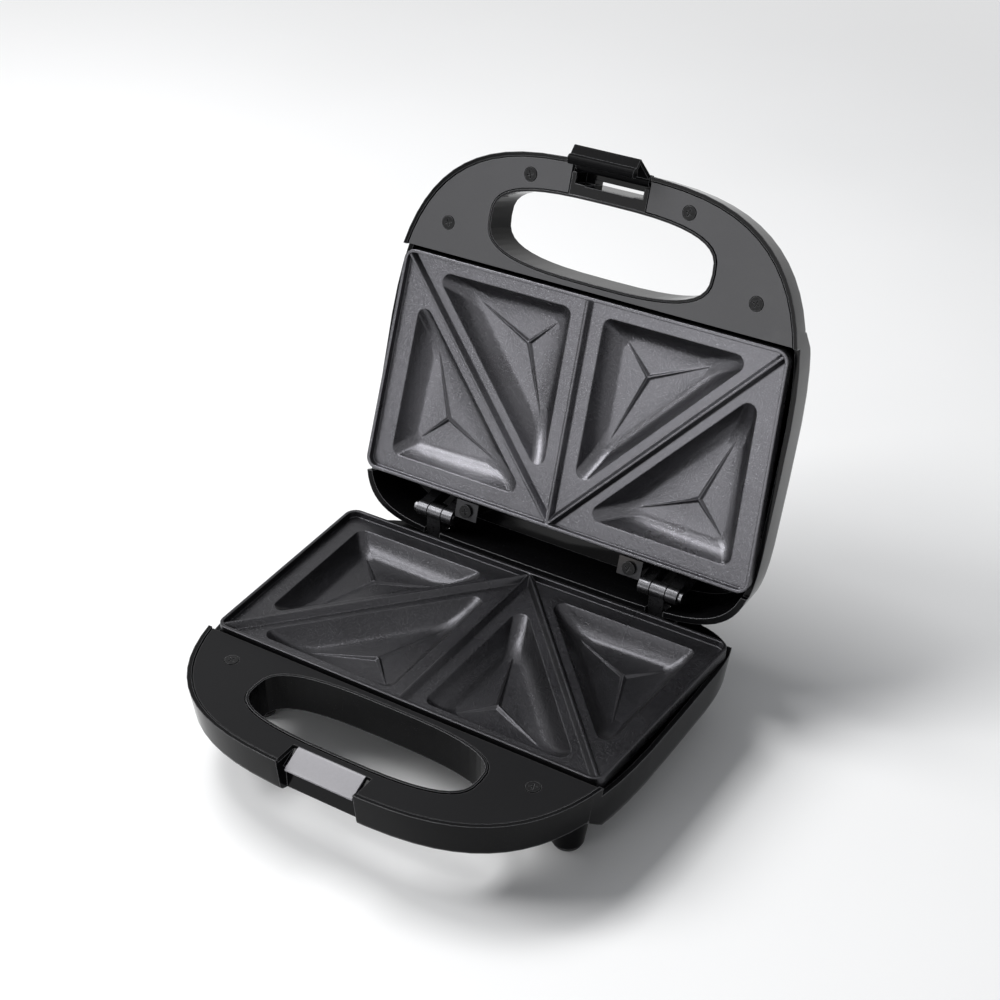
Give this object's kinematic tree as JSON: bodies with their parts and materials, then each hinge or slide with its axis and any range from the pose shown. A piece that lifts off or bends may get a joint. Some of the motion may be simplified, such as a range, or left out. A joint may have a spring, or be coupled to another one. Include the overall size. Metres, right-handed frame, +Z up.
{
  "type": "sandwich toaster",
  "caption": "Countertop sandwich toaster, open: gloss-black hinged housings with D-shaped handles, a latch clip and cast non-stick plates with triangular pockets.",
  "frame": {"origin": "on the table, at the middle of the open toaster's bounding box", "axes": "+X to the toaster's right hand as seen from the handles, +Y from the handles to the hinges, +Z up"},
  "size_m": [0.2238, 0.2652, 0.2504],
  "materials": {
    "housing": "gloss black moulding",
    "cover_dark": "satin dark grey",
    "cover_grey": "satin dark grey",
    "screw_black": "black oxide",
    "catch_grey": "satin grey",
    "pad_rubber": "matt",
    "plate_coat": "dark non-stick coating on cast aluminium",
    "pan_steel": "plain sheet steel",
    "element_steel": "heater sheath",
    "zinc": "zinc plated",
    "ceramic": "ceramic and glass sleeve",
    "hinge_steel": "dark metal",
    "lens_red": "clear red",
    "lens_green": "clear green",
    "clip_black": "gloss black"
  },
  "bodies": {
    "root": {"base_housing": "housing", "base_handle_cover": "cover_dark", "base_cover_screws": "screw_black", "catch_plate": "catch_grey", "foot_pads": "pad_rubber", "cord_gland": "pad_rubber", "lower_plate": "plate_coat", "lower_pan": "pan_steel", "lower_element": "element_steel", "lower_clamp": "pan_steel", "lower_plate_screws": "zinc", "lower_pan_screws": "screw_black", "thermostat": "ceramic", "thermal_fuse": "ceramic", "terminal_block": "ceramic", "base_hinge_left": "hinge_steel", "base_hinge_right": "hinge_steel", "base_hinge_screws": "screw_black", "hinge_pins": "zinc"},
    "lid": {"lid_housing": "housing", "lid_handle_cover": "cover_grey", "lid_cover_screws": "screw_black", "upper_plate": "plate_coat", "upper_pan": "pan_steel", "upper_element": "element_steel", "upper_clamp": "pan_steel", "upper_plate_screws": "zinc", "upper_pan_screws": "screw_black", "lid_hinge_left": "hinge_steel", "lid_hinge_right": "hinge_steel", "lid_hinge_screws": "screw_black", "red_lamp_lens": "lens_red", "green_lamp_lens": "lens_green", "clip_pin": "zinc"},
    "clip": {"latch_clip": "clip_black"}
  },
  "joints": [
    {"name": "lid_hinge", "type": "hinge", "parent": "root", "child": "lid", "pos_m": [0, 0.06096, 0.0554], "axis": [1, 0, 0], "range_deg": [0, 107.6]},
    {"name": "clip_pivot", "type": "hinge", "parent": "lid", "child": "clip", "pos_m": [0, 0.11843, 0.23723], "axis": [1, 0, 0], "range_deg": [-60, 18]}
  ]
}
